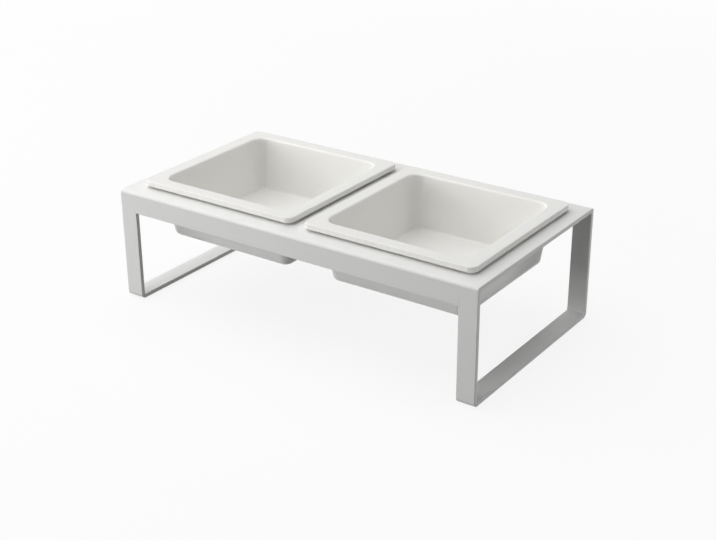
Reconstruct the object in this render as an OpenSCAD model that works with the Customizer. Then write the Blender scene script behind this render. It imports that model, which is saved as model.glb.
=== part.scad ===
/* [Stand] */
// Width of the deck beyond the rims at its left and right ends
end_margin = 11; // [6:0.5:40]
// Width of the deck beyond the rims at its front and back
side_margin = 13; // [8:0.5:40]
// Height of the deck above the underside of the runners
stand_h = 85; // [65:1:180]
// Thickness of the deck sheet and of the leg strip
sheet_t = 3.2; // [2:0.1:4]
// Inside radius of every bend in the sheet and the strip
bend_inner_r = 0.8; // [0.5:0.1:2]
// Height of the front and back aprons
apron_h = 16; // [10:0.5:24]
// Width of the strip that makes the legs and the runners
strip_w = 14; // [10:0.5:18]

/* [Bowls] */
// Outside width of the square rim
rim_w = 134; // [110:0.5:180]
// Gap between the two rims
rim_gap = 10; // [4:0.5:40]
// Thickness of the rim
rim_t = 4; // [3.2:0.1:6]
// Radius of the rim's corners, seen from above
rim_corner_r = 6; // [3:0.5:12]
// Radius of the rim's outer edges
rim_edge_r = 1.5; // [0.6:0.1:1.5]
// Width of the rim's overhang beyond the bowl's body
rim_overhang = 6.8; // [5.6:0.2:10]
// Height of a bowl from its foot to the top of its rim
bowl_h = 44.5; // [34:0.5:50]
// Slope of the bowl's walls from upright, in degrees
wall_slope = 9; // [4:0.5:12]
// Thickness of the bowl's walls, measured level
wall_t = 4.6; // [3.6:0.1:5.6]
// Thickness of the bowl's floor
floor_t = 4.5; // [3:0.1:7]
// Radius between the body's walls and its foot
foot_edge_r = 5; // [2:0.5:6]
// Radius between the inner walls and the floor
floor_edge_r = 2.5; // [1:0.5:2.5]
// Radius of the inner corners at the foot of the walls, seen from above
floor_corner_r = 3; // [3:0.5:8]
// Radius of the mouth's edge
lip_r = 1.6; // [0.6:0.1:2.4]
// Width of the foot that the bowl stands on
foot_w = 5; // [3:0.5:10]
// Depth of the hollow inside the foot
hollow_depth = 1; // [0.5:0.1:2]
// Corner radius of the hollow inside the foot, seen from below
hollow_corner_r = 5; // [2:0.5:12]
// Level gap between a bowl's body and the deck opening
opening_gap = 1.6; // [0.8:0.1:2.5]

/* [Rubber parts] */
// Diameter of a bumper under the rim
bumper_d = 6; // [4:0.5:7]
// Height of a bumper under the rim
bumper_h = 1.5; // [1:0.1:3]
// Gap between a bumper and the corner of its deck opening
bumper_gap = 0.8; // [0.4:0.1:1.2]
// Length of a floor pad
pad_l = 24; // [12:1:40]
// Width of a floor pad
pad_w = 10; // [6:0.5:10]
// Thickness of a floor pad
pad_t = 1; // [0.6:0.1:3]
// Corner radius of a floor pad
pad_corner_r = 2; // [1:0.5:3]
// Distance from the bend in the strip to a floor pad
pad_setback = 3; // [1:0.5:10]

/* [Hidden] */
$fn = 96;
STEEL = [0.93, 0.93, 0.92];
CERAMIC = [0.95, 0.95, 0.93];
SILICONE = [0.80, 0.81, 0.81];
// Each side's name and its sign along X
SIDES = [["left", -1], ["right", 1]];
// Each corner's name and its signs along X and Y
CORNERS = [["front_left", -1, -1], ["front_right", 1, -1], ["back_left", -1, 1], ["back_right", 1, 1]];

// Distance between the centres of the two bowls
bowl_pitch = rim_w + rim_gap;

// Length and depth of the stand
stand_w = bowl_pitch + rim_w + 2 * end_margin;
stand_d = rim_w + 2 * side_margin;

// Levels above the floor
strip_bottom = pad_t;
deck_top = strip_bottom + stand_h;
apron_bottom = deck_top - apron_h;
rim_under = deck_top + bumper_h;
rim_top = rim_under + rim_t;
foot_level = rim_top - bowl_h;
floor_level = foot_level + floor_t;
// Level at which the inner wall runs into the mouth's rounded edge
lip_level = rim_top - lip_r * (1 - sin(wall_slope));

// Outside radius of every bend
bend_outer_r = bend_inner_r + sheet_t;

// Radius of the body's corners under the rim, which the walls' slope sets from the inner corners
body_corner_r = tenths(floor_corner_r + wall_t
    + (rim_under - edge_meets(floor_level, floor_edge_r)) * tan(wall_slope));

// Centres of the bowl's rounded corners, from the bowl's own centre
rim_axis = rim_w / 2 - rim_corner_r;
body_axis = rim_axis + rim_corner_r - rim_overhang - body_corner_r;

// Half width of a deck opening, and its corner radius
opening_half = body_axis + body_corner_r + opening_gap;
opening_corner_r = body_corner_r + opening_gap;

// Distance from a bowl's centre to its bumpers, along X and Y
bumper_place = body_axis + (opening_corner_r + bumper_gap + bumper_d / 2) / sqrt(2);

// Centres of the floor pads
pad_x = stand_w / 2 - strip_w / 2;
pad_y = stand_d / 2 - bend_outer_r - pad_setback - pad_l / 2;

// Slack for cuts that run past a face
cut = 1;
// Depth to which a round edge runs into the wall beside it
blend = 0.005;

// Length to the nearest tenth of a millimetre
function tenths(length) = round(10 * length) / 10;

// Level distance from a corner's centre to the outside of the sloping wall
function wall_out(level) = body_corner_r - (rim_under - level) * tan(wall_slope);

// Level at which a wall runs into the round edge at its lower end
function edge_meets(bottom, edge_r) = bottom + edge_r * (1 - sin(wall_slope));

// Level distance from a corner's centre to the centre of that round edge
function edge_axis(bottom, edge_r, inset) =
    wall_out(edge_meets(bottom, edge_r)) - inset - edge_r * cos(wall_slope) + blend;

// Square block with upright rounded corners, standing on its base
module rounded_block(width, depth, radius, height) {
    translate([-width / 2 + radius, -depth / 2, 0]) cube([width - 2 * radius, depth, height]);
    translate([-width / 2, -depth / 2 + radius, 0]) cube([width, depth - 2 * radius, height]);
    for (x = [-1, 1], y = [-1, 1])
        translate([x * (width / 2 - radius), y * (depth / 2 - radius), 0])
            cylinder(r = radius, h = height);
}

// Carries a flat outline round a square whose corners turn about the four points at the given distance
module around_square(axis) {
    for (turn = [0 : 90 : 270])
        rotate(turn) {
            translate([axis, axis, 0]) rotate_extrude(angle = 90) children();
            translate([axis, axis, 0]) rotate([90, 0, 0]) linear_extrude(2 * axis) children();
        }
}

// Outline of a sheet bent down at both ends, seen from the side
module bent_outline(depth, bottom, top, radius) {
    translate([-depth / 2, bottom]) square([depth, top - radius - bottom]);
    translate([-depth / 2 + radius, bottom]) square([depth - 2 * radius, top - bottom]);
    for (y = [-1, 1])
        translate([y * (depth / 2 - radius), top - radius]) circle(r = radius);
}

// Outline of the folded sheet or strip, as thick as the sheet
module folded_outline(bottom, top) {
    difference() {
        bent_outline(stand_d, bottom, top, bend_outer_r);
        bent_outline(stand_d - 2 * sheet_t, bottom - cut, top - sheet_t, bend_inner_r);
    }
}

// Folded deck with its two aprons and its two bowl openings
module deck_panel() {
    color(STEEL)
        difference() {
            rotate([90, 0, 90]) linear_extrude(stand_w, center = true) folded_outline(apron_bottom, deck_top);
            for (side = SIDES)
                translate([side[1] * bowl_pitch / 2, 0, deck_top - sheet_t - cut])
                    rounded_block(2 * opening_half, 2 * opening_half, opening_corner_r, sheet_t + 2 * cut);
        }
}

// Flat strip bent into two legs and a runner, which meets the aprons edge to edge
module leg_loop(x_sign) {
    color(STEEL)
        translate([x_sign * (stand_w / 2 - strip_w / 2), 0, strip_bottom])
            rotate([90, 0, 90])
                linear_extrude(strip_w, center = true)
                    mirror([0, 1]) folded_outline(strip_bottom - apron_bottom, 0);
}

// Outline of the rim's rounded outer edge, from a corner's centre outwards
module rim_outline() {
    translate([0, rim_under]) square([rim_corner_r - rim_edge_r, rim_t]);
    translate([0, rim_under + rim_edge_r]) square([rim_corner_r, rim_t - 2 * rim_edge_r]);
    for (level = [rim_under + rim_edge_r, rim_top - rim_edge_r])
        translate([rim_corner_r - rim_edge_r, level]) circle(r = rim_edge_r);
}

// Outline of a sloping wall with a round edge at its lower end, from a corner's centre outwards
module wall_outline(bottom, top, edge_r, inset) {
    meet_z = edge_meets(bottom, edge_r);
    axis = edge_axis(bottom, edge_r, inset);
    polygon([
        [0, bottom],
        [axis, bottom],
        [wall_out(meet_z) - inset, meet_z],
        [wall_out(top) - inset, top],
        [0, top]
    ]);
    translate([axis, bottom])
        intersection() {
            square(edge_r);
            translate([0, edge_r]) circle(r = edge_r);
        }
}

// Outline of the space between the mouth's rounded edges, from a corner's centre outwards
module lip_outline() {
    lip_axis = wall_out(lip_level) - wall_t + lip_r * cos(wall_slope) - blend;
    difference() {
        translate([0, lip_level]) square([lip_axis, rim_top + cut - lip_level]);
        translate([lip_axis, rim_top - lip_r]) circle(r = lip_r);
    }
}

// Space inside a bowl
module bowl_hollow() {
    around_square(body_axis) {
        wall_outline(floor_level, rim_top + cut, floor_edge_r, wall_t);
        lip_outline();
    }
    translate([-body_axis, -body_axis, floor_level])
        cube([2 * body_axis, 2 * body_axis, rim_top + cut - floor_level]);
}

// Square bowl with sloping walls, a flat rim and a hollow foot
module bowl(x_sign) {
    hollow_w = 2 * tenths(body_axis + edge_axis(foot_level, foot_edge_r, 0) - foot_w);
    color(CERAMIC)
        translate([x_sign * bowl_pitch / 2, 0, 0])
            difference() {
                union() {
                    around_square(rim_axis) rim_outline();
                    translate([-rim_axis, -rim_axis, rim_under]) cube([2 * rim_axis, 2 * rim_axis, rim_t]);
                    around_square(body_axis) wall_outline(foot_level, rim_under, foot_edge_r, 0);
                    translate([-body_axis, -body_axis, foot_level])
                        cube([2 * body_axis, 2 * body_axis, rim_under - foot_level]);
                }
                bowl_hollow();
                translate([0, 0, foot_level - cut])
                    rounded_block(hollow_w, hollow_w, hollow_corner_r, cut + hollow_depth);
            }
}

// Silicone disc on the deck, which the rim rests on
module bumper(bowl_sign, x_sign, y_sign) {
    bumper_x = bowl_sign * bowl_pitch / 2 + x_sign * bumper_place;
    color(SILICONE)
        translate([bumper_x, y_sign * bumper_place, deck_top])
            cylinder(d = bumper_d, h = bumper_h);
}

// Silicone pad under the end of a runner
module floor_pad(x_sign, y_sign) {
    color(SILICONE)
        translate([x_sign * pad_x, y_sign * pad_y, 0])
            rounded_block(pad_w, pad_l, pad_corner_r, pad_t);
}

deck_panel();
for (side = SIDES) {
    leg_loop(side[1]);
    bowl(side[1]);
    for (corner = CORNERS)
        bumper(side[1], corner[1], corner[2]);
}
for (corner = CORNERS)
    floor_pad(corner[1], corner[2]);
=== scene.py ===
"""Dog feeder stand: a folded steel deck on two bent strip loops, and two glazed bowls that lift out.

Lengths are in metres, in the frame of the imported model: X runs along the deck, Y to its back and Z up.
"""

import logging
import math
from abc import ABC, abstractmethod
from dataclasses import dataclass, field, replace
from enum import Enum
from typing import Any, ClassVar

import bmesh
import bpy
from bpy.types import ID, Material, Mesh, Node, NodeSocket, NodeTree, Object
from mathutils import Matrix, Vector


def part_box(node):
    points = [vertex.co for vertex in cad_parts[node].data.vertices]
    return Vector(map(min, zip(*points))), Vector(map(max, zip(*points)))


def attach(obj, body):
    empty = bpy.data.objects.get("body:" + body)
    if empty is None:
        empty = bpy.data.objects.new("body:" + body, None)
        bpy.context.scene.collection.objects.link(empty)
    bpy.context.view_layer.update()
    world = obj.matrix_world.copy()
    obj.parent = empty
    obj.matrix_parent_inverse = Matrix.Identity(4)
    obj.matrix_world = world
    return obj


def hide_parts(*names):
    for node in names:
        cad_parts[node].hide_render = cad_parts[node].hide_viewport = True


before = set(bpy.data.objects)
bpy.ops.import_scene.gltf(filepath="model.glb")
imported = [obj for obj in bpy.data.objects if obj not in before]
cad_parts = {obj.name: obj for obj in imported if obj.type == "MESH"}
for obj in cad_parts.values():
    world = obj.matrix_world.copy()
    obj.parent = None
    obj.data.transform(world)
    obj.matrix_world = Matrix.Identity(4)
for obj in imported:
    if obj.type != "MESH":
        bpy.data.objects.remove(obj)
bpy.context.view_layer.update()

MM = 0.001
# Points nearer than this count as one place, and the trees weld those nearer than the next
NEAR = 0.01 * MM
WELD = 0.002 * MM
# A rounded edge's faces are narrower than this share of its radius
EDGE_FACE = 0.6
QUARTER = math.pi / 2
GREY = (0.8, 0.8, 0.8, 1.0)
WHITE = (1.0, 1.0, 1.0, 1.0)
# The way along which noise is moved, so that no two patterns match
SHIFT_WAY = (1.0, 0.7, 0.4)
# Marks on the meshes: where a coat is thin and where there is none
EDGE = "edge"
BARE = "bare"
STAND_BODY = "stand"

log = logging.getLogger("feeder_stand")


class Side(Enum):
    """The two ends of the stand, as the nodes spell them."""

    LEFT = "left"
    RIGHT = "right"


class Corner(Enum):
    """The four corners of an opening or of the stand."""

    FRONT_LEFT = "front_left"
    FRONT_RIGHT = "front_right"
    BACK_LEFT = "back_left"
    BACK_RIGHT = "back_right"


class Slot(Enum):
    """The record's material slots."""

    POWDER_COAT = "powder_coat"
    GLAZE = "glaze"
    SILICONE = "silicone"


def linear(red: int, green: int, blue: int) -> tuple[float, float, float, float]:
    """Turns a colour as a screen shows it into the shader's linear scale.

    Args:
        red: red from 0 to 255.
        green: green from 0 to 255.
        blue: blue from 0 to 255.

    Returns:
        The linear colour with full alpha.
    """
    def channel(level: int) -> float:
        """One channel's linear value."""
        share = level / 255
        return share / 12.92 if share <= 0.04045 else ((share + 0.055) / 1.055) ** 2.4

    return channel(red), channel(green), channel(blue), 1.0


def placed(name: str, data: ID) -> Object:
    """Makes an object and puts it in the scene.

    Args:
        name: the object's name.
        data: its mesh, lamp or camera.

    Returns:
        The object, at the origin.
    """
    thing = bpy.data.objects.new(name, data)
    bpy.context.scene.collection.objects.link(thing)
    return thing


class NodeCanvas:
    """A node tree with short calls that add nodes and join them."""

    def __init__(self, tree: NodeTree) -> None:
        """Keeps the tree to draw in."""
        self.tree = tree

    @classmethod
    def cleared(cls, owner: ID) -> "NodeCanvas":
        """Empties the node tree of a material or a world.

        Args:
            owner: the material or the world.

        Returns:
            A canvas on its tree.
        """
        owner.use_nodes = True
        owner.node_tree.nodes.clear()
        return cls(owner.node_tree)

    @staticmethod
    def socket(sockets: Any, key: str | int) -> NodeSocket:
        """Finds a socket by its number, or by its name among those in use."""
        named = (each for each in sockets if each.enabled and each.name == key)
        return sockets[key] if isinstance(key, int) else next(named)

    def add(self, kind: str, inputs: dict[str | int, Any] | None = None, **settings: Any) -> Node:
        """Adds a node.

        Args:
            kind: Blender's name for the kind of node.
            inputs: sockets by name or number, each with a value or with the socket that feeds it.
            **settings: the node's own settings.

        Returns:
            The new node.
        """
        node = self.tree.nodes.new(kind)
        for name, value in settings.items():
            setattr(node, name, value)
        for key, value in (inputs or {}).items():
            target = self.socket(node.inputs, key)
            if isinstance(value, NodeSocket):
                self.tree.links.new(value, target)
            else:
                target.default_value = value
        return node

    def out(self, kind: str, inputs: dict[str | int, Any] | None = None, **settings: Any) -> NodeSocket:
        """Adds a node and gives its first output in use."""
        node = self.add(kind, inputs, **settings)
        return next(each for each in node.outputs if each.enabled)

    def math(self, operation: str, *terms: Any) -> NodeSocket:
        """Adds a sum on single numbers and gives its result."""
        return self.out("ShaderNodeMath", dict(enumerate(terms)), operation=operation)

    def vector(self, operation: str, *terms: Any) -> NodeSocket:
        """Adds a sum on vectors and gives its result."""
        return self.out("ShaderNodeVectorMath", dict(enumerate(terms)), operation=operation)

    def blend(self, share: Any, first: Any, second: Any, kind: str = "RGBA") -> NodeSocket:
        """Adds a mix of two colours, or of two values of another kind, and gives its result."""
        return self.out("ShaderNodeMix", {"Factor": share, "A": first, "B": second}, data_type=kind)

    def spread(self, value: Any, low: float, high: float, base: float = 0.0) -> NodeSocket:
        """Adds a clamped map of a value from low and high to base and 1."""
        ends = {"From Min": low, "From Max": high, "To Min": base}
        return self.out("ShaderNodeMapRange", {"Value": value, **ends})

    def mark(self, name: str) -> NodeSocket:
        """Adds a reading of one of the marks that the meshes carry."""
        return self.add("ShaderNodeAttribute", attribute_name=name, attribute_type="GEOMETRY").outputs["Fac"]


class EffectGroup(NodeCanvas):
    """A shader node group for an effect that more than one finish uses."""

    def __init__(self, name: str, inputs: dict[str, Any], outputs: dict[str, str]) -> None:
        """Makes the group and its named sockets.

        Args:
            name: the group's name.
            inputs: each input's name with its usual value, a number or a colour.
            outputs: each output's name with its kind of socket.
        """
        super().__init__(bpy.data.node_groups.new(name, "ShaderNodeTree"))
        for label, value in inputs.items():
            kind = "NodeSocketColor" if isinstance(value, tuple) else "NodeSocketFloat"
            self.tree.interface.new_socket(label, in_out="INPUT", socket_type=kind).default_value = value
        for label, kind in outputs.items():
            self.tree.interface.new_socket(label, in_out="OUTPUT", socket_type=kind)
        self.given = self.tree.nodes.new("NodeGroupInput").outputs
        self.result = self.tree.nodes.new("NodeGroupOutput").inputs
        self.place = self.add("ShaderNodeTexCoord").outputs["Object"]

    def give(self, label: str, value: NodeSocket) -> None:
        """Joins a value to one of the group's outputs."""
        self.tree.links.new(value, self.result[label])

    def noise(self, scale: Any, detail: float, shift: float = 0.0) -> NodeSocket:
        """Adds noise over the object's own place, with so many waves for each metre and finer octaves."""
        spot = self.vector("ADD", self.place, tuple(shift * part for part in SHIFT_WAY))
        return self.out("ShaderNodeTexNoise", {"Vector": spot, "Scale": scale, "Detail": detail})


@dataclass(frozen=True)
class SharedEffects:
    """The node groups that the finishes share."""

    mottle: NodeTree
    thin_edge: NodeTree
    handling: NodeTree
    relief: NodeTree

    @classmethod
    def make(cls) -> "SharedEffects":
        """Builds every group once."""
        return cls(cls._mottle(), cls._thin_edge(), cls._handling(), cls._relief())

    @staticmethod
    def _mottle() -> NodeTree:
        """Draws clouds of a second tone over a colour, wide and soft.

        Returns:
            The group.
        """
        inputs = {"Colour": GREY, "Second": GREY, "Scale": 20.0, "Amount": 0.5}
        group = EffectGroup("mottle", inputs, {"Colour": "NodeSocketColor"})
        cloud = group.noise(group.given["Scale"], 3.0)
        share = group.math("MULTIPLY", group.spread(cloud, 0.3, 0.7), group.given["Amount"])
        group.give("Colour", group.blend(share, group.given["Colour"], group.given["Second"]))
        return group.tree

    @staticmethod
    def _thin_edge() -> NodeTree:
        """Draws a coat that thins over rounded edges and lets the tone below show.

        Returns:
            The group.
        """
        inputs = {"Colour": GREY, "Below": GREY, "Scale": 150.0, "Amount": 0.5}
        group = EffectGroup("thin_edge", inputs, {"Colour": "NodeSocketColor"})
        uneven = group.spread(group.noise(group.given["Scale"], 2.0, 3.1), 0.25, 0.7, 0.3)
        mask = group.math("MULTIPLY", group.math("MULTIPLY", group.mark(EDGE), uneven), group.given["Amount"])
        group.give("Colour", group.blend(mask, group.given["Colour"], group.given["Below"]))
        return group.tree

    @staticmethod
    def _handling() -> NodeTree:
        """Draws faint smears from hands and cloths, as a roughness that drifts over the surface.

        Returns:
            The group.
        """
        inputs = {"Roughness": 0.4, "Spread": 0.1, "Scale": 30.0}
        group = EffectGroup("handling", inputs, {"Roughness": "NodeSocketFloat"})
        finer, fine_share, middle = 9.0, 0.3, 0.65
        wide = group.noise(group.given["Scale"], 4.0, 7.7)
        fine = group.noise(group.math("MULTIPLY", group.given["Scale"], finer), 2.0, 1.9)
        drift = group.math("SUBTRACT", group.math("MULTIPLY_ADD", fine, fine_share, wide), middle)
        rough = group.math("MULTIPLY_ADD", drift, group.given["Spread"], group.given["Roughness"])
        group.give("Roughness", rough)
        return group.tree

    @staticmethod
    def _relief() -> NodeTree:
        """Draws the height of a skin that is a little uneven: soft waves with a finer grain on them.

        Returns:
            The group.
        """
        inputs = {"Wave scale": 300.0, "Grain scale": 1500.0, "Grain share": 0.3}
        group = EffectGroup("relief", inputs, {"Height": "NodeSocketFloat"})
        wave = group.noise(group.given["Wave scale"], 1.0)
        grain = group.noise(group.given["Grain scale"], 2.0, 5.3)
        group.give("Height", group.blend(group.given["Grain share"], wave, grain, "FLOAT"))
        return group.tree


class Finish:
    """A material in the making: a Principled shader and the shared groups that feed it."""

    def __init__(self, name: str, **constants: Any) -> None:
        """Makes an empty material.

        Args:
            name: the material's name.
            **constants: the shader's plain values, with underscores for spaces in the sockets' names.
        """
        self.material = bpy.data.materials.new(name)
        self.canvas = NodeCanvas.cleared(self.material)
        self.shader = self.canvas.add("ShaderNodeBsdfPrincipled", self._spaced(constants))
        self.canvas.add("ShaderNodeOutputMaterial", {"Surface": self.shader.outputs[0]})

    @staticmethod
    def _spaced(values: dict[str, Any]) -> dict[str, Any]:
        """Puts spaces for the underscores in sockets' names."""
        return {name.replace("_", " "): value for name, value in values.items()}

    def effect(self, tree: NodeTree, **values: Any) -> Any:
        """Places a shared group with its inputs, with underscores for spaces, and gives its outputs."""
        return self.canvas.add("ShaderNodeGroup", self._spaced(values), node_tree=tree).outputs

    def feed(self, socket: str, value: NodeSocket) -> None:
        """Joins a value to one of the shader's sockets."""
        self.canvas.tree.links.new(value, self.shader.inputs[socket])

    def bump(self, height: NodeSocket, depth: float, strength: float) -> None:
        """Turns a height into the shader's normal, by the relief's depth and how much of it shows."""
        relief = {"Strength": strength, "Distance": depth, "Height": height}
        self.feed("Normal", self.canvas.out("ShaderNodeBump", relief))


@dataclass(frozen=True)
class PowderCoat:
    """Satin white powder coat on the steel: a fine orange-peel skin that thins over the cut edges."""

    colour: tuple = linear(243, 243, 241)
    shade: tuple = linear(240, 240, 239)
    thin: tuple = linear(228, 228, 228)
    roughness: float = 0.42
    peel_depth: float = 0.16 * MM

    def make(self, effects: SharedEffects) -> Material:
        """Builds the material.

        Args:
            effects: the shared groups.

        Returns:
            The material.
        """
        finish = Finish("powder_coat_white", IOR=1.5)
        clouded = finish.effect(effects.mottle, Colour=self.colour, Second=self.shade, Scale=14.0, Amount=0.8)
        edged = finish.effect(
            effects.thin_edge, Colour=clouded["Colour"], Below=self.thin, Scale=90.0, Amount=0.55
        )
        finish.feed("Base Color", edged["Colour"])
        smears = finish.effect(effects.handling, Roughness=self.roughness, Spread=0.16, Scale=22.0)
        finish.feed("Roughness", smears["Roughness"])
        peel = finish.effect(effects.relief, Wave_scale=620.0, Grain_scale=1900.0, Grain_share=0.4)
        finish.bump(peel["Height"], self.peel_depth, 0.8)
        return finish.material


@dataclass(frozen=True)
class Glaze:
    """Glossy white glaze, a little creamy over the edges, with a bare fired ring under the foot."""

    colour: tuple = linear(249, 248, 245)
    pooled: tuple = linear(247, 247, 244)
    thin: tuple = linear(246, 242, 235)
    bisque: tuple = linear(222, 208, 187)
    bisque_shade: tuple = linear(210, 193, 170)
    roughness: float = 0.16
    bare_roughness: float = 0.85
    bare_edge: tuple[float, float] = (0.42, 0.58)
    bare_wander: float = 0.7
    ripple_depth: float = 0.06 * MM

    def make(self, effects: SharedEffects) -> Material:
        """Builds the material.

        Args:
            effects: the shared groups.

        Returns:
            The material.
        """
        finish = Finish("white_glaze", IOR=1.5)
        canvas = finish.canvas
        pooled = finish.effect(effects.mottle, Colour=self.colour, Second=self.pooled, Scale=24.0, Amount=0.7)
        edged = finish.effect(
            effects.thin_edge, Colour=pooled["Colour"], Below=self.thin, Scale=120.0, Amount=0.45
        )
        clay = finish.effect(
            effects.mottle, Colour=self.bisque, Second=self.bisque_shade, Scale=260.0, Amount=0.8
        )
        grain = finish.effect(effects.relief, Wave_scale=170.0, Grain_scale=1300.0, Grain_share=0.1)
        swing = canvas.math("SUBTRACT", grain["Height"], 0.5)
        ragged = canvas.math("MULTIPLY_ADD", swing, self.bare_wander, canvas.mark(BARE))
        bare = canvas.spread(ragged, *self.bare_edge)
        finish.feed("Base Color", canvas.blend(bare, edged["Colour"], clay["Colour"]))
        smears = finish.effect(effects.handling, Roughness=self.roughness, Spread=0.06, Scale=16.0)
        finish.feed("Roughness", canvas.blend(bare, smears["Roughness"], self.bare_roughness, "FLOAT"))
        finish.bump(grain["Height"], self.ripple_depth, 0.5)
        return finish.material


@dataclass(frozen=True)
class Silicone:
    """Milky silicone with a matt moulded skin that holds a little dust."""

    colour: tuple = linear(226, 227, 226)
    dusty: tuple = linear(206, 206, 203)
    roughness: float = 0.56
    glow_depth: float = 1.5 * MM
    grain_depth: float = 0.03 * MM

    def make(self, effects: SharedEffects) -> Material:
        """Builds the material.

        Args:
            effects: the shared groups.

        Returns:
            The material.
        """
        finish = Finish("milky_silicone", IOR=1.41, Subsurface_Weight=0.25, Subsurface_Scale=self.glow_depth)
        dusty = finish.effect(effects.mottle, Colour=self.colour, Second=self.dusty, Scale=240.0, Amount=0.6)
        worn = finish.effect(
            effects.thin_edge, Colour=dusty["Colour"], Below=self.dusty, Scale=400.0, Amount=0.6
        )
        finish.feed("Base Color", worn["Colour"])
        skin = finish.effect(effects.handling, Roughness=self.roughness, Spread=0.2, Scale=180.0)
        finish.feed("Roughness", skin["Roughness"])
        grain = finish.effect(effects.relief, Wave_scale=900.0, Grain_scale=4200.0, Grain_share=0.5)
        finish.bump(grain["Height"], self.grain_depth, 0.5)
        return finish.material


def make_finishes() -> dict[Slot, Material]:
    """Builds the shared groups and every finish.

    Returns:
        Each slot's material.
    """
    looks = {Slot.POWDER_COAT: PowderCoat(), Slot.GLAZE: Glaze(), Slot.SILICONE: Silicone()}
    effects = SharedEffects.make()
    return {slot: look.make(effects) for slot, look in looks.items()}


class GeometryRecipe(NodeCanvas):
    """A geometry node tree with named inputs, which turns a piece's first sketch into its mesh."""

    def __init__(self, name: str, lengths: tuple[str, ...], counts: tuple[str, ...] = ()) -> None:
        """Makes the tree and its named inputs, the finish among them.

        Args:
            name: the tree's name.
            lengths: names of the inputs that take lengths.
            counts: names of the inputs that take whole numbers.
        """
        super().__init__(bpy.data.node_groups.new(name, "GeometryNodeTree"))
        face = self.tree.interface
        face.new_socket("Sketch", in_out="INPUT", socket_type="NodeSocketGeometry")
        face.new_socket("Mesh", in_out="OUTPUT", socket_type="NodeSocketGeometry")
        kinds = {
            **dict.fromkeys(lengths, "NodeSocketFloat"), **dict.fromkeys(counts, "NodeSocketInt"),
            "Finish": "NodeSocketMaterial",
        }
        self.identifiers = {
            label: face.new_socket(label, in_out="INPUT", socket_type=kind).identifier
            for label, kind in kinds.items()
        }
        self.given = self.tree.nodes.new("NodeGroupInput").outputs
        self.result = self.tree.nodes.new("NodeGroupOutput").inputs

    def direction(self, turn: Any, length: float) -> NodeSocket:
        """Adds a level vector of the given length at an angle from X."""
        x, y = (self.math("MULTIPLY", self.math(part, turn), length) for part in ("COSINE", "SINE"))
        return self.out("ShaderNodeCombineXYZ", {"X": x, "Y": y})

    def scaled(self, vector: Any, factor: Any) -> NodeSocket:
        """Adds a vector times a number."""
        return self.out("ShaderNodeVectorMath", {"Vector": vector, "Scale": factor}, operation="SCALE")

    def sampled(self, source: Any, value: Any, index: Any, kind: str) -> NodeSocket:
        """Adds a reading of a value, of a kind that Blender names, at one of the source's points."""
        inputs = {"Geometry": source, "Value": value, "Index": index}
        return self.out("GeometryNodeSampleIndex", inputs, data_type=kind)

    def rounded(self, curve: Any, radius: Any, steps: Any, **limits: Any) -> NodeSocket:
        """Adds a curve's rounding by a radius, in steps."""
        inputs = {"Curve": curve, "Count": steps, "Radius": radius, **limits}
        return self.out("GeometryNodeFilletCurve", inputs, mode="POLY")

    def welded(self, mesh: Any) -> NodeSocket:
        """Adds the joining of points that lie in one place."""
        return self.out("GeometryNodeMergeByDistance", {"Geometry": mesh, "Distance": WELD})

    def end(self, mesh: NodeSocket) -> None:
        """Closes the tree: real faces, smooth shading and the finish.

        Args:
            mesh: the shape, instances among it.
        """
        real = self.out("GeometryNodeRealizeInstances", {"Geometry": mesh})
        smooth = self.out("GeometryNodeSetShadeSmooth", {"Geometry": real, "Shade Smooth": True})
        dressed = self.out("GeometryNodeSetMaterial", {"Geometry": smooth, "Material": self.given["Finish"]})
        self.tree.links.new(dressed, self.result["Mesh"])

    def make(self, name: str, sketch: Mesh, values: dict[str, Any]) -> Object:
        """Runs the tree on a sketch.

        Args:
            name: the piece's name.
            sketch: the mesh that the tree starts from.
            values: the tree's inputs by name.

        Returns:
            The piece, as a plain mesh with no modifier.
        """
        piece = placed(name, sketch)
        modifier = piece.modifiers.new(self.tree.name, "NODES")
        modifier.node_group = self.tree
        for label, value in values.items():
            modifier[self.identifiers[label]] = value
        settle(piece)
        return piece


def settle(piece: Object) -> None:
    """Turns a piece and its modifiers into one plain mesh.

    Args:
        piece: the piece to settle.
    """
    graph = bpy.context.evaluated_depsgraph_get()
    mesh = bpy.data.meshes.new_from_object(
        piece.evaluated_get(graph), preserve_all_data_layers=True, depsgraph=graph
    )
    sketch = piece.data
    piece.modifiers.clear()
    piece.data = mesh
    bpy.data.meshes.remove(sketch)
    mesh.name = piece.name


def even_normals(piece: Object, sharp_over: float) -> None:
    """Lets wide faces keep their own normals, so that only the narrow rounded ones shade round.

    Args:
        piece: the piece to shade.
        sharp_over: angle over which an edge stays sharp.
    """
    piece.data.shade_smooth()
    piece.data.set_sharp_from_angle(angle=sharp_over)
    piece.modifiers.new("even_normals", "WEIGHTED_NORMAL").keep_sharp = True
    settle(piece)


def mark_edges(piece: Object, radius: float) -> None:
    """Marks the narrow faces of rounded edges for the finishes.

    Args:
        piece: the piece to mark.
        radius: the rounded edges' radius.
    """
    mesh, width = piece.data, EDGE_FACE * radius
    spots = mesh.vertices
    mark = mesh.attributes.new(EDGE, "FLOAT", "FACE")
    for face, item in zip(mesh.polygons, mark.data):
        shortest = min((spots[a].co - spots[b].co).length for a, b in face.edge_keys)
        item.value = 1.0 if shortest < width else 0.0


def sketch_of(name: str, spots: list[Vector], joined: bool = True) -> Mesh:
    """Makes a mesh of points.

    Args:
        name: the mesh's name.
        spots: the points in order.
        joined: whether edges join the points in a row.

    Returns:
        The mesh.
    """
    mesh = bpy.data.meshes.new(name)
    mesh.from_pydata(spots, [(i, i + 1) for i in range(len(spots) - 1)] if joined else [], [])
    return mesh


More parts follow.
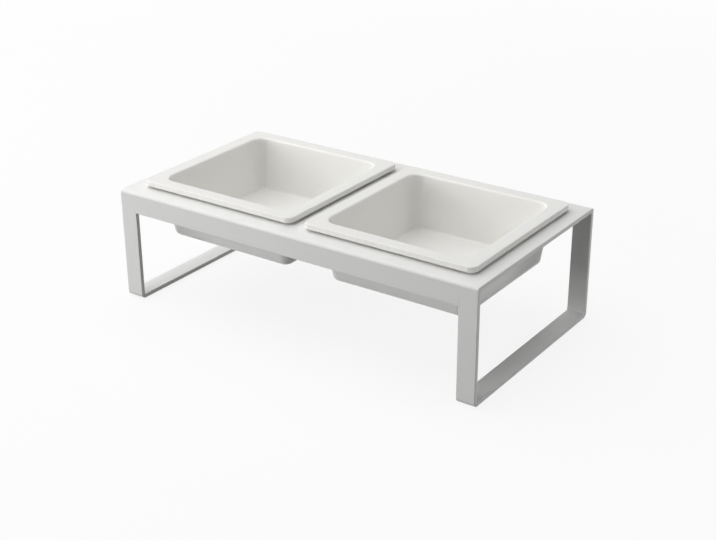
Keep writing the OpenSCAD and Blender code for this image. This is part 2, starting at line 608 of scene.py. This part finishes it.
@dataclass
class SheetSteel:
    """The steel that the deck and the legs are bent from."""

    thickness: float = 3.2 * MM
    bend_inside: float = 0.8 * MM
    edge_round: float = 0.5 * MM
    edge_steps: int = 4
    bend_steps: int = 10
    cut_angle: float = math.radians(60)

    @property
    def bend_middle(self) -> float:
        """Radius of a bend at the middle of the sheet."""
        return self.bend_inside + self.thickness / 2


@dataclass
class DeckPanel:
    """Deck sheet with two square openings, bent down into an apron at the front and at the back."""

    steel: SheetSteel
    strip_inner_x: float
    bowls: list["Bowl"]
    fold_outside: float = 2.2 * MM
    opening_gap: float = 1.6 * MM
    corner_steps: int = 12
    side_steps: int = 6
    sharp_over: float = math.radians(50)
    name: str = "deck_panel_coated"
    node: str = "deck_panel"

    def __post_init__(self) -> None:
        """Takes the outside sizes from the frame."""
        low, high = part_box(self.node)
        self.half_length, self.half_depth = high.x, high.y
        self.top, self.bottom = high.z, low.z
        self.flat_half = self.half_depth - self.fold_outside
        self.opening_corner = self.bowls[0].body_corner + self.opening_gap
        self.opening_axis = self.bowls[0].body_axis

    def build(self, finishes: dict[Slot, Material]) -> Object:
        """Makes the deck and dresses it.

        Args:
            finishes: each slot's material.

        Returns:
            The finished piece.
        """
        piece = placed(self.name, bpy.data.meshes.new(self.name))
        self._skin(piece.data)
        wall = piece.modifiers.new("wall", "SOLIDIFY")
        wall.thickness, wall.offset, wall.use_even_offset = self.steel.thickness, -1.0, True
        settle(piece)
        self._fold_inside(piece.data)
        self._round_edges(piece.data)
        piece.data.materials.clear()
        piece.data.materials.append(finishes[Slot.POWDER_COAT])
        even_normals(piece, self.sharp_over)
        mark_edges(piece, self.steel.edge_round)
        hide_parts(self.node)
        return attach(piece, STAND_BODY)

    def _skin(self, mesh: Mesh) -> None:
        """Draws the sheet's outer face: the flat deck, both bends and both aprons.

        Args:
            mesh: the mesh to fill.
        """
        skin = bmesh.new()
        for bowl in self.bowls:
            self._deck_round_opening(skin, bowl.centre_x)
        bmesh.ops.remove_doubles(skin, verts=skin.verts, dist=NEAR)
        for y_sign in (-1, 1):
            self._bend_down(skin, y_sign)
        bmesh.ops.remove_doubles(skin, verts=skin.verts, dist=NEAR)
        for x_sign in (-1, 1):
            everything = list(skin.verts) + list(skin.edges) + list(skin.faces)
            bmesh.ops.bisect_plane(
                skin, geom=everything, plane_co=(x_sign * self.strip_inner_x, 0, 0), plane_no=(1, 0, 0)
            )
        bmesh.ops.recalc_face_normals(skin, faces=skin.faces)
        deck = max(skin.faces, key=lambda face: face.calc_center_median().z)
        if deck.normal.z < 0:
            bmesh.ops.reverse_faces(skin, faces=skin.faces)
        skin.to_mesh(mesh)
        skin.free()

    def _deck_round_opening(self, skin: bmesh.types.BMesh, centre: float) -> None:
        """Lays the half of the flat deck that surrounds one opening.

        Args:
            skin: the mesh in the making.
            centre: the opening's centre along X.
        """
        axis, steps = self.opening_axis, self.corner_steps
        end = math.copysign(self.half_length, centre)
        reach = (min(0.0, end) - centre, max(0.0, end) - centre)
        inner, outer = [], []
        middle = steps / 2
        for quarter in range(4):
            signs = Vector((1 if quarter in (0, 3) else -1, 1 if quarter < 2 else -1))
            corner = Vector((reach[signs.x > 0], signs.y * self.flat_half))
            turns = [QUARTER * (quarter + step / steps) for step in range(steps + 1)]
            facing = [Vector((math.cos(turn), math.sin(turn))) for turn in turns]
            arc = [signs * axis + each * self.opening_corner for each in facing]
            before, after = self._cast(arc[0], reach), self._cast(arc[-1], reach)
            inner += arc
            outer += [before.lerp(corner, step / middle) for step in range(steps // 2)]
            outer += [corner.lerp(after, step / middle) for step in range(steps // 2 + 1)]
            side = Vector((-facing[-1].y, facing[-1].x)) * 2 * axis / self.side_steps
            for step in range(1, self.side_steps):
                inner.append(arc[-1] + side * step)
                outer.append(self._cast(inner[-1], reach))
        rings = [
            [skin.verts.new((centre + spot.x, spot.y, self.top)) for spot in ring] for ring in (inner, outer)
        ]
        for index in range(len(inner)):
            after = (index + 1) % len(inner)
            skin.faces.new((rings[0][index], rings[1][index], rings[1][after], rings[0][after]))

    def _cast(self, spot: Vector, reach: tuple[float, float]) -> Vector:
        """Carries a point straight out from an opening's centre to the edge of the flat deck.

        Args:
            spot: the point, from the opening's centre.
            reach: the flat deck's ends along X, from the same centre.

        Returns:
            The point on the deck's edge.
        """
        along_x = reach[spot.x > 0] / spot.x if spot.x else math.inf
        along_y = self.flat_half / abs(spot.y) if spot.y else math.inf
        return spot * min(along_x, along_y)

    def _bend_down(self, skin: bmesh.types.BMesh, y_sign: int) -> None:
        """Carries one long edge of the flat deck round its bend and down its apron.

        Args:
            skin: the mesh in the making.
            y_sign: -1 for the front and 1 for the back.
        """
        line = y_sign * self.flat_half
        rim = [edge for edge in skin.edges if all(abs(vert.co.y - line) < NEAR for vert in edge.verts)]
        ends = list({vert for edge in rim for vert in edge.verts})
        turned = bmesh.ops.spin(
            skin, geom=ends + rim, cent=(0, line, self.top - self.fold_outside), axis=(1, 0, 0),
            angle=-y_sign * QUARTER, steps=self.steel.bend_steps,
        )
        last = [item for item in turned["geom_last"] if isinstance(item, bmesh.types.BMEdge)]
        apron = bmesh.ops.extrude_edge_only(skin, edges=last)
        for item in apron["geom"]:
            if isinstance(item, bmesh.types.BMVert):
                item.co.z = self.bottom

    def _fold_inside(self, mesh: Mesh) -> None:
        """Turns the sheet's inner face about the inside of each fold, since the outside is crisper.

        Args:
            mesh: the sheet with its thickness, its inner points in the same order after the outer ones.
        """
        radius = self.steel.bend_inside
        centre_y = self.half_depth - self.steel.thickness - radius
        centre_z = self.top - self.steel.thickness - radius
        half = len(mesh.vertices) // 2
        for outer, inner in zip(mesh.vertices[:half], mesh.vertices[half:]):
            out = abs(outer.co.y) - self.flat_half
            up = outer.co.z - self.top + self.fold_outside
            if min(out, up) > -NEAR:
                turn = math.atan2(up, out)
                inner.co.y = math.copysign(centre_y + radius * math.cos(turn), outer.co.y)
                inner.co.z = centre_z + radius * math.sin(turn)

    def _round_edges(self, mesh: Mesh) -> None:
        """Rounds every cut edge, apart from those that run on into a leg.

        Args:
            mesh: the sheet with its thickness.
        """
        sheet = bmesh.new()
        sheet.from_mesh(mesh)
        cut = []
        for edge in sheet.edges:
            middle = (edge.verts[0].co + edge.verts[1].co) / 2
            on_leg = abs(middle.x) > self.strip_inner_x and all(
                abs(vert.co.z - self.bottom) < NEAR for vert in edge.verts
            )
            if edge.is_manifold and edge.calc_face_angle() > self.steel.cut_angle and not on_leg:
                cut.append(edge)
        bmesh.ops.bevel(
            sheet, geom=cut, offset=self.steel.edge_round, offset_type="OFFSET",
            segments=self.steel.edge_steps, profile=0.5, affect="EDGES", clamp_overlap=True,
        )
        sheet.to_mesh(mesh)
        sheet.free()


class TreePiece(ABC):
    """A piece that a geometry tree makes from a sketch.

    Each kind says the piece's name, the nodes that it replaces, its slot and the body that it rides on.
    Edge_round is the radius of the rounded edges that narrow faces show, or 0 where the tree marks them.
    """

    name: str
    nodes: list[str]
    slot: ClassVar[Slot]
    body: str = STAND_BODY
    sharp_over: ClassVar[float] = math.radians(50)
    edge_round: float = 0.0

    @abstractmethod
    def sketch(self) -> Mesh:
        """The mesh that the tree starts from."""

    @abstractmethod
    def sizes(self) -> dict[str, float]:
        """The tree's lengths and counts by name."""

    def build(self, recipe: GeometryRecipe, finishes: dict[Slot, Material]) -> Object:
        """Makes the piece and dresses it.

        Args:
            recipe: the kind's tree.
            finishes: each slot's material.

        Returns:
            The finished piece.
        """
        values = {**self.sizes(), "Finish": finishes[self.slot]}
        piece = recipe.make(self.name, self.sketch(), values)
        even_normals(piece, self.sharp_over)
        if self.edge_round:
            mark_edges(piece, self.edge_round)
        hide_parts(*self.nodes)
        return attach(piece, self.body)


@dataclass
class LegLoop(TreePiece):
    """Flat strip bent into a front leg, a runner and a back leg."""

    side: Side
    steel: SheetSteel
    slot: ClassVar[Slot] = Slot.POWDER_COAT

    def __post_init__(self) -> None:
        """Takes the loop's place from the frame."""
        node = f"{self.side.value}_leg_loop"
        self.name, self.nodes = f"{node}_coated", [node]
        self.low, self.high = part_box(node)
        self.edge_round = self.steel.edge_round

    @property
    def inner_x(self) -> float:
        """Distance from the stand's middle to the strip's inner edge."""
        return min(abs(self.low.x), abs(self.high.x))

    @staticmethod
    def recipe() -> GeometryRecipe:
        """Builds the tree that carries the strip's section along the loop's middle line.

        Returns:
            The tree.
        """
        lengths = ("Strip width", "Thickness", "Bend radius", "Edge radius")
        tree = GeometryRecipe("strip_along_path", lengths, ("Bend steps", "Edge steps"))
        given = tree.given
        path = tree.out("GeometryNodeMeshToCurve", {"Mesh": given["Sketch"]})
        path = tree.rounded(path, given["Bend radius"], given["Bend steps"])
        across = {"Curve": path, "Normal": (1.0, 0.0, 0.0)}
        path = tree.out("GeometryNodeSetCurveNormal", across, mode="FREE")
        section = tree.out("GeometryNodeCurvePrimitiveQuadrilateral", {
            "Width": given["Strip width"], "Height": given["Thickness"],
        })
        section = tree.rounded(section, given["Edge radius"], given["Edge steps"])
        tree.end(tree.out("GeometryNodeCurveToMesh", {
            "Curve": path, "Profile Curve": section, "Fill Caps": True,
        }))
        return tree

    def sketch(self) -> Mesh:
        """Draws the loop's middle line.

        Returns:
            The line, from the top of the front leg to the top of the back one.
        """
        half = self.steel.thickness / 2
        x = (self.low.x + self.high.x) / 2
        front, back = self.low.y + half, self.high.y - half
        bottom, top = self.low.z + half, self.high.z
        line = ((front, top), (front, bottom), (back, bottom), (back, top))
        return sketch_of(self.name, [Vector((x, y, z)) for y, z in line])

    def sizes(self) -> dict[str, float]:
        """The tree's lengths and counts by name."""
        return {
            "Strip width": self.high.x - self.low.x,
            "Thickness": self.steel.thickness,
            "Bend radius": self.steel.bend_middle,
            "Edge radius": self.steel.edge_round,
            "Bend steps": self.steel.bend_steps,
            "Edge steps": self.steel.edge_steps,
        }


@dataclass(frozen=True)
class SectionSpot:
    """One point of a bowl's section.

    Half is the half width of the square at that point, corner its corner radius and level its height.
    Edge and bare are 1 where the glaze is thin and where there is none.
    """

    half: float
    corner: float
    level: float
    edge: float = 0.0
    bare: float = 0.0

    @property
    def place(self) -> Vector:
        """The point as the bowl's tree reads it."""
        return Vector((self.half, self.corner, self.level))

    def toward(self, other: "SectionSpot", part: float) -> "SectionSpot":
        """A plain point part of the way to another one."""
        pairs = ((self.half, other.half), (self.corner, other.corner), (self.level, other.level))
        return SectionSpot(*(start + (end - start) * part for start, end in pairs))


@dataclass
class Bowl(TreePiece):
    """Square bowl with sloping walls, a flat rim with rounded edges and a hollow foot."""

    side: Side
    rim_thickness: float = 4.0 * MM
    rim_corner: float = 6.0 * MM
    rim_edge: float = 0.6 * MM
    overhang: float = 6.8 * MM
    body_corner: float = 13.0 * MM
    slope: float = math.radians(9.0)
    wall: float = 4.6 * MM
    floor: float = 4.5 * MM
    foot_edge: float = 5.0 * MM
    floor_edge: float = 2.5 * MM
    lip: float = 1.6 * MM
    under_rim: float = 1.3 * MM
    foot_width: float = 5.0 * MM
    hollow: float = 1.0 * MM
    hollow_corner: float = 5.0 * MM
    hollow_edge: float = 0.6 * MM
    middle_corner: float = 0.06
    floor_sag: float = 0.2 * MM
    side_pull: float = 0.2 * MM
    corner_steps: int = 14
    side_steps: int = 16
    hollow_rings: tuple[float, ...] = (0.0, 0.3, 0.6, 0.9)
    ring_fade: tuple[float, ...] = (0.1, 0.4, 0.7, 1.0)
    foot_rings: tuple[float, ...] = (0.3, 0.6, 0.9)
    floor_rings: tuple[float, ...] = (0.98, 0.9, 0.75, 0.5, 0.25, 0.0)
    spots: list[SectionSpot] = field(default_factory=list)
    slot: ClassVar[Slot] = Slot.GLAZE
    sharp_over: ClassVar[float] = math.radians(80)
    pull_reach: ClassVar[float] = 30 * MM

    def __post_init__(self) -> None:
        """Takes the bowl's place and outside sizes from the frame."""
        node = f"{self.side.value}_bowl"
        self.name, self.nodes, self.body = f"{node}_glazed", [node], f"{node}_body"
        low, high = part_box(node)
        self.centre_x = (low.x + high.x) / 2
        self.rim_half = (high.x - low.x) / 2
        self.foot_level, self.rim_top = low.z, high.z
        self.rim_under = self.rim_top - self.rim_thickness
        self.body_axis = self.rim_half - self.overhang - self.body_corner
        self.rim_axis = self.rim_half - self.rim_corner

    def _wall_at(self, level: float, inset: float = 0.0) -> float:
        """Half width of the sloping wall at a level, less an inset."""
        return self.body_axis + self.body_corner - (self.rim_under - level) * math.tan(self.slope) - inset

    def _arc(self, half: float, level: float, radius: float, turns: tuple[float, float], steps: int,
             run: int = 1, on_rim: bool = False, worn: bool = False) -> None:
        """Adds the points of an arc, after those of the straight run that leads to it.

        Args:
            half: half width at the arc's centre.
            level: height of the arc's centre.
            radius: the arc's radius.
            turns: angles of the first and the last point in degrees, from outwards towards up.
            steps: number of steps along the arc.
            run: number of steps along the straight run from the last point.
            on_rim: whether the corners turn about the rim's axes and not the body's.
            worn: whether the glaze thins over the arc.
        """
        axis = self.rim_axis if on_rim else self.body_axis
        arc = []
        for step in range(steps + 1):
            part = step / steps
            turn = math.radians(turns[0] + (turns[1] - turns[0]) * part)
            wide = half + radius * math.cos(turn)
            edge = math.sin(math.pi * part) if worn else 0.0
            arc.append(SectionSpot(wide, wide - axis, level + radius * math.sin(turn), edge))
        last = self.spots[-1]
        self.spots += [last.toward(arc[0], step / run) for step in range(1, run)]
        self.spots += arc

    def _draw_section(self) -> None:
        """Lists the section from the middle of the underside, round the outside, to the floor's middle."""
        tilt = math.degrees(self.slope)
        sine, cosine = math.sin(self.slope), math.cos(self.slope)
        self.spots.clear()

        meet = self.foot_level + self.foot_edge * (1 - sine)
        foot = self._wall_at(meet) - self.foot_edge * cosine
        self._draw_hollow(foot - self.foot_width, foot)
        self._arc(foot, self.foot_level + self.foot_edge, self.foot_edge, (270, 360 - tilt), steps=8)

        bend = self.rim_under - self.under_rim
        bend_half = self._wall_at(bend + self.under_rim * sine) + self.under_rim * cosine
        self._arc(bend_half, bend, self.under_rim, (180 - tilt, 90), steps=5, run=6)

        edge = self.rim_edge
        edge_half = self.rim_half - edge
        self._arc(edge_half, self.rim_under + edge, edge, (270, 360), steps=7, run=5, on_rim=True, worn=True)
        self._arc(edge_half, self.rim_top - edge, edge, (0, 90), steps=7, on_rim=True, worn=True)

        lip = self.rim_top - self.lip
        lip_half = self._wall_at(lip + self.lip * sine, self.wall) + self.lip * cosine
        self._arc(lip_half, lip, self.lip, (90, 180 - tilt), steps=8, run=6, worn=True)

        floor = self.foot_level + self.floor
        meet = floor + self.floor_edge * (1 - sine)
        floor_half = self._wall_at(meet, self.wall) - self.floor_edge * cosine
        self._arc(floor_half, floor + self.floor_edge, self.floor_edge, (360 - tilt, 270), steps=9, run=7)
        corner = self.spots[-1].corner
        for part in self.floor_rings:
            sag = self.floor_sag * (1 - part * part)
            self.spots.append(SectionSpot(floor_half * part, corner * part, floor - sag))

    def _draw_hollow(self, inner: float, outer: float) -> None:
        """Lists the underside: the glazed hollow and the bare ring that the bowl stands on.

        Args:
            inner: half width of the hollow.
            outer: half width at the outer edge of the ring's flat face.
        """
        ceiling = self.foot_level + self.hollow
        round_in, ease = self.hollow_edge, self.hollow - self.hollow_edge
        straight = inner - self.hollow_corner
        steps = len(self.ring_fade)

        def spot(half: float, level: float, bare: float = 0.0) -> None:
            """Adds a point whose corners belong to the hollow."""
            corner = max(0.0, half - straight) if half > inner / 2 else half * self.middle_corner
            self.spots.append(SectionSpot(half, min(corner, half), level, bare=bare))

        for part in self.hollow_rings:
            spot(inner * part, ceiling)
        for step in range(steps + 1):
            turn = QUARTER * (1 - step / steps)
            spot(inner - round_in * (1 - math.cos(turn)), ceiling - round_in * (1 - math.sin(turn)))
        for step, bare in enumerate(self.ring_fade, start=1):
            turn = QUARTER * (2 + step / steps)
            spot(inner + ease * (1 + math.cos(turn)), self.foot_level + ease * (1 + math.sin(turn)), bare)
        ring = SectionSpot(inner + ease, self.hollow_corner + ease, self.foot_level)
        edge = SectionSpot(outer, outer - self.body_axis, self.foot_level)
        for part in self.foot_rings:
            self.spots.append(replace(ring.toward(edge, part), bare=1.0))

    @classmethod
    def recipe(cls) -> GeometryRecipe:
        """Builds the tree that carries a section round a square whose corner radius changes on the way.

        The sketch's points hold half width, corner radius and level as X, Y and Z.

        Returns:
            The tree.
        """
        tree = GeometryRecipe(
            "section_round_square", ("Centre X", "Side pull"), ("Corner steps", "Side steps")
        )
        sketch, corner_steps, side_steps = (
            tree.given[key] for key in ("Sketch", "Corner steps", "Side steps")
        )
        count = tree.add("GeometryNodeAttributeDomainSize", {"Geometry": sketch}).outputs["Point Count"]
        quarter_steps = tree.math("ADD", corner_steps, side_steps)
        around = tree.math("MULTIPLY_ADD", quarter_steps, 4.0, 1.0)
        grid = tree.out("GeometryNodeMeshGrid", {"Vertices X": around, "Vertices Y": count})
        index = tree.out("GeometryNodeInputIndex")
        station = tree.math("MODULO", index, count)
        place = tree.math("FLOOR", tree.math("DIVIDE", tree.math("ADD", index, 0.5), count))
        quarter = tree.math("FLOOR", tree.math("DIVIDE", tree.math("ADD", place, 0.5), quarter_steps))
        step = tree.math("SUBTRACT", place, tree.math("MULTIPLY", quarter, quarter_steps))
        turned = tree.math("DIVIDE", tree.math("MINIMUM", step, corner_steps), corner_steps)
        past = tree.math("MAXIMUM", tree.math("SUBTRACT", step, corner_steps), 0.0)
        along = tree.math("DIVIDE", past, side_steps)

        def facing(share: Any, length: float) -> NodeSocket:
            """A level vector at a share of the quarter's turn."""
            return tree.direction(tree.math("MULTIPLY", tree.math("ADD", quarter, share), QUARTER), length)

        root = math.sqrt(2)
        toward = tree.blend(along, facing(0.5, root), facing(1.5, root), "VECTOR")
        spot = tree.sampled(sketch, tree.out("GeometryNodeInputPosition"), station, "FLOAT_VECTOR")
        half, corner, level = tree.add("ShaderNodeSeparateXYZ", {0: spot}).outputs
        bulge = tree.math("MULTIPLY", tree.math("MULTIPLY", along, tree.math("SUBTRACT", 1.0, along)), 4.0)
        near = tree.math("MINIMUM", tree.math("MULTIPLY", half, 1 / cls.pull_reach), 1.0)
        pull = tree.math("MULTIPLY", tree.math("MULTIPLY", bulge, near), tree.given["Side pull"])
        straight = tree.scaled(toward, tree.math("SUBTRACT", half, corner))
        curved = tree.scaled(facing(turned, 1.0), tree.math("SUBTRACT", corner, pull))
        lift = tree.out("ShaderNodeCombineXYZ", {"X": tree.given["Centre X"], "Z": level})
        position = tree.vector("ADD", tree.vector("ADD", straight, curved), lift)
        body = tree.out("GeometryNodeSetPosition", {"Geometry": grid, "Position": position})
        for mark in (EDGE, BARE):
            named = tree.add("GeometryNodeInputNamedAttribute", {"Name": mark}, data_type="FLOAT").outputs[0]
            body = tree.out("GeometryNodeStoreNamedAttribute", {
                "Geometry": body, "Name": mark, "Value": tree.sampled(sketch, named, station, "FLOAT"),
            }, data_type="FLOAT", domain="POINT")
        tree.end(tree.welded(body))
        return tree

    def sketch(self) -> Mesh:
        """Draws the bowl's section with its marks.

        Returns:
            The section's points, joined in a row.
        """
        self._draw_section()
        sketch = sketch_of(self.name, [each.place for each in self.spots])
        for mark in (EDGE, BARE):
            layer = sketch.attributes.new(mark, "FLOAT", "POINT")
            layer.data.foreach_set("value", [getattr(each, mark) for each in self.spots])
        return sketch

    def sizes(self) -> dict[str, float]:
        """The tree's lengths and counts by name."""
        return {
            "Centre X": self.centre_x,
            "Side pull": self.side_pull,
            "Corner steps": self.corner_steps,
            "Side steps": self.side_steps,
        }


@dataclass
class RubberSet(TreePiece):
    """A set of equal silicone parts with rounded upper edges."""

    name: str
    nodes: list[str]
    corner: float
    edge_round: float = 0.35 * MM
    slot: ClassVar[Slot] = Slot.SILICONE
    corner_steps: ClassVar[int] = 12
    edge_steps: ClassVar[int] = 4

    @classmethod
    def recipe(cls) -> GeometryRecipe:
        """Builds the tree that raises a rounded outline and sets a copy on each of the sketch's points.

        Returns:
            The tree.
        """
        lengths = ("Width", "Length", "Height", "Corner radius", "Edge radius")
        tree = GeometryRecipe("rubber_on_points", lengths)
        width, length, height, corner, edge = (tree.given[label] for label in lengths)
        outline = tree.out("GeometryNodeCurvePrimitiveQuadrilateral", {"Width": width, "Height": length})
        outline = tree.rounded(outline, corner, cls.corner_steps, **{"Limit Radius": True})
        base = tree.out("GeometryNodeFillCurve", {"Curve": outline}, mode="NGONS")
        raised = tree.add("GeometryNodeExtrudeMesh", {
            "Mesh": base, "Offset Scale": tree.math("SUBTRACT", height, edge),
        }).outputs
        shape, top = raised["Mesh"], raised["Top"]
        for step in range(cls.edge_steps):
            before, after = (QUARTER * part / cls.edge_steps for part in (step, step + 1))
            raised = tree.add("GeometryNodeExtrudeMesh", {
                "Mesh": shape, "Selection": top,
                "Offset Scale": tree.math("MULTIPLY", edge, math.sin(after) - math.sin(before)),
            }).outputs
            shape, top = raised["Mesh"], raised["Top"]
            for size, axis in ((width, (1.0, 0.0, 0.0)), (length, (0.0, 1.0, 0.0))):
                spans = [
                    tree.math("SUBTRACT", size, tree.math("MULTIPLY", edge, 2 * (1 - math.cos(turn))))
                    for turn in (before, after)
                ]
                shape = tree.out("GeometryNodeScaleElements", {
                    "Geometry": shape, "Selection": top, "Axis": axis,
                    "Scale": tree.math("DIVIDE", spans[1], spans[0]),
                }, scale_mode="SINGLE_AXIS")
        under = tree.out("GeometryNodeFlipFaces", {"Mesh": base})
        join = tree.add("GeometryNodeJoinGeometry", {"Geometry": under})
        tree.tree.links.new(shape, join.inputs["Geometry"])
        copies = {"Points": tree.given["Sketch"], "Instance": tree.welded(join.outputs[0])}
        tree.end(tree.out("GeometryNodeInstanceOnPoints", copies))
        return tree

    def sketch(self) -> Mesh:
        """Sets a point under the middle of each part.

        Returns:
            The points.
        """
        boxes = [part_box(node) for node in self.nodes]
        spots = [Vector(((low.x + high.x) / 2, (low.y + high.y) / 2, low.z)) for low, high in boxes]
        return sketch_of(self.name, spots, joined=False)

    def sizes(self) -> dict[str, float]:
        """The tree's lengths by name, with the size of the first part."""
        low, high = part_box(self.nodes[0])
        return {
            "Width": high.x - low.x,
            "Length": high.y - low.y,
            "Height": high.z - low.z,
            "Corner radius": self.corner,
            "Edge radius": self.edge_round,
        }


@dataclass(frozen=True)
class SoftBox:
    """A studio lamp with a square or oblong front, turned to the middle of the stand."""

    name: str
    place: tuple[float, float, float]
    width: float
    height: float
    power: float
    aim: tuple[float, float, float] = (0.0, 0.0, 0.05)

    def build(self) -> None:
        """Hangs the lamp and turns it to its aim."""
        lamp = bpy.data.lights.new(self.name, "AREA")
        lamp.shape, lamp.size, lamp.size_y, lamp.energy = "RECTANGLE", self.width, self.height, self.power
        stand = placed(self.name, lamp)
        stand.location = self.place
        stand.rotation_euler = (Vector(self.aim) - Vector(self.place)).to_track_quat("-Z", "Y").to_euler()


@dataclass
class Studio:
    """White floor, soft lamps and the camera."""

    floor_half: float = 4.0
    floor_lift: float = 0.87
    fade: tuple[float, float] = (0.3, 1.3)
    paper: tuple = linear(250, 250, 250)
    bounce: tuple = linear(150, 150, 150)
    azimuth: float = math.radians(34.920)
    elevation: float = math.radians(24.554)
    roll: float = math.radians(-0.291)
    lens: float = 68.416
    sensor: float = 36.0
    camera_place: tuple[float, float, float] = (0.51999, -0.73863, 0.44243)
    lamps: tuple[SoftBox, ...] = (
        SoftBox("overhead_lamp", (-0.52, 0.0, 1.2), 2.0, 2.0, 20.9),
        SoftBox("front_lamp", (-0.2, -1.0, 0.9), 1.0, 1.0, 1.2),
        SoftBox("low_left_lamp", (-0.8, -1.0, 0.28), 1.3, 0.44, 7.4),
        SoftBox("right_lamp", (1.2, 0.3, 0.36), 0.6, 0.6, 3.1),
    )

    def build(self) -> None:
        """Sets up the floor, the light and the camera."""
        self._floor()
        self._world()
        for lamp in self.lamps:
            lamp.build()
        self._camera()
        bpy.context.scene.view_settings.view_transform = "Standard"

    @staticmethod
    def _seen(canvas: NodeCanvas) -> NodeSocket:
        """Tells what is shown from what lights the stand.

        Args:
            canvas: the tree to draw in.

        Returns:
            1 for rays from the camera and for what gloss and glass show, and 0 for others.
        """
        path = canvas.add("ShaderNodeLightPath").outputs
        mirrored = canvas.math("MAXIMUM", path["Is Glossy Ray"], path["Is Transmission Ray"])
        return canvas.math("MAXIMUM", path["Is Camera Ray"], mirrored)

    def _floor(self) -> None:
        """Lays a floor that keeps the stand's soft shadow and fades to plain white away from it."""
        half = self.floor_half
        mesh = bpy.data.meshes.new("studio_floor")
        corners = [(-half, -half, 0), (half, -half, 0), (half, half, 0), (-half, half, 0)]
        mesh.from_pydata(corners, [], [(0, 1, 2, 3)])
        material = bpy.data.materials.new("studio_floor")
        canvas = NodeCanvas.cleared(material)
        seen = self._seen(canvas)
        paper = canvas.out("ShaderNodeBsdfDiffuse", {"Color": canvas.blend(seen, self.bounce, self.paper)})
        glow = canvas.out("ShaderNodeEmission", {"Color": WHITE, "Strength": 1.0})
        reach = canvas.vector("LENGTH", canvas.add("ShaderNodeTexCoord").outputs["Object"])
        share = canvas.math("MULTIPLY", seen, canvas.spread(reach, *self.fade, self.floor_lift))
        canvas.add("ShaderNodeOutputMaterial", {
            "Surface": canvas.out("ShaderNodeMixShader", {0: share, 1: paper, 2: glow}),
        })
        mesh.materials.append(material)
        placed("studio_floor", mesh)

    def _world(self) -> None:
        """Shows plain white all round, which lights nothing but gloss and glass."""
        world = bpy.data.worlds.new("studio")
        canvas = NodeCanvas.cleared(world)
        white = {"Color": WHITE, "Strength": self._seen(canvas)}
        canvas.add("ShaderNodeOutputWorld", {"Surface": canvas.out("ShaderNodeBackground", white)})
        bpy.context.scene.world = world

    def _camera(self) -> None:
        """Stands the camera at the front right, looking down on the bowls."""
        sin, cos = math.sin, math.cos
        level = cos(self.elevation)
        back = Vector((sin(self.azimuth) * level, -cos(self.azimuth) * level, sin(self.elevation)))
        right = Vector((cos(self.azimuth), sin(self.azimuth), 0.0))
        up = back.cross(right)
        tilted_right = right * cos(self.roll) + up * sin(self.roll)
        tilted_up = up * cos(self.roll) - right * sin(self.roll)
        camera = placed("camera", bpy.data.cameras.new("camera"))
        camera.data.lens = self.lens
        camera.data.sensor_width = self.sensor
        camera.data.sensor_fit = "HORIZONTAL"
        turn = Matrix((tilted_right, tilted_up, back)).transposed().to_4x4()
        camera.matrix_world = Matrix.Translation(self.camera_place) @ turn
        bpy.context.scene.camera = camera


def main() -> None:
    """Builds every piece of the stand, then the studio round it."""
    logging.basicConfig(level=logging.INFO, format="%(name)s: %(message)s")
    finishes = make_finishes()
    steel = SheetSteel()
    loops = [LegLoop(side, steel) for side in Side]
    bowls = [Bowl(side) for side in Side]
    deck = DeckPanel(steel, loops[0].inner_x, bowls)
    bumper_nodes = [f"{side.value}_bumper_{corner.value}" for side in Side for corner in Corner]
    pad_nodes = [f"floor_pad_{corner.value}" for corner in Corner]
    rubber = [
        RubberSet("rim_bumpers", bumper_nodes, corner=3.0 * MM),
        RubberSet("floor_pads", pad_nodes, corner=2.0 * MM, edge_round=0.25 * MM),
    ]

    pieces = [deck.build(finishes)]
    for family in (loops, bowls, rubber):
        recipe = family[0].recipe()
        pieces += [each.build(recipe, finishes) for each in family]
    Studio().build()


if __name__ == "__main__":
    main()
